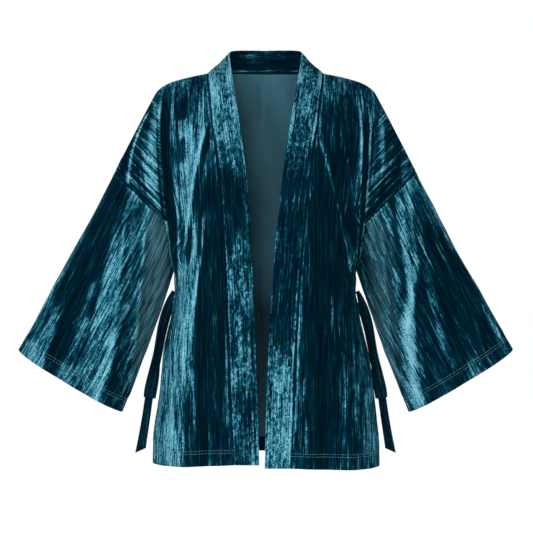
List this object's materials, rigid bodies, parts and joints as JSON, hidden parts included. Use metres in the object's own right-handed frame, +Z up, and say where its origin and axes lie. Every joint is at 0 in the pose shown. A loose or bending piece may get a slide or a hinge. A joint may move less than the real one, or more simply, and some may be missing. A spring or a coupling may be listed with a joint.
{
  "type": "kimono jacket",
  "caption": "Open-fronted velvet kimono jacket with a long folded neckband, dropped shoulders, wide straight sleeves and side ties, filled out as it is worn",
  "frame": {"origin": "midway between the two points where the shoulder seams meet the neckband, at the level where the wearer's shoulders carry the jacket", "axes": "+X to the wearer's left, -Y to the front, +Z up"},
  "size_m": [0.9, 0.2515, 0.769],
  "materials": {
    "velvet": "dark teal crushed velvet with light streaks along the grain, and a smooth slate reverse",
    "neckband": "the same crushed velvet, folded double, mottled lighter",
    "tie": "very dark teal velvet with lighter edges"
  },
  "bodies": {
    "root": {"front_right": "velvet", "front_left": "velvet", "back": "velvet", "sleeve_right": "velvet", "sleeve_left": "velvet", "neckband_right": "neckband", "neckband_left": "neckband", "tie_loop_right": "tie", "tie_tail_right": "tie", "tie_loop_left": "tie", "tie_tail_left": "tie"}
  },
  "joints": []
}
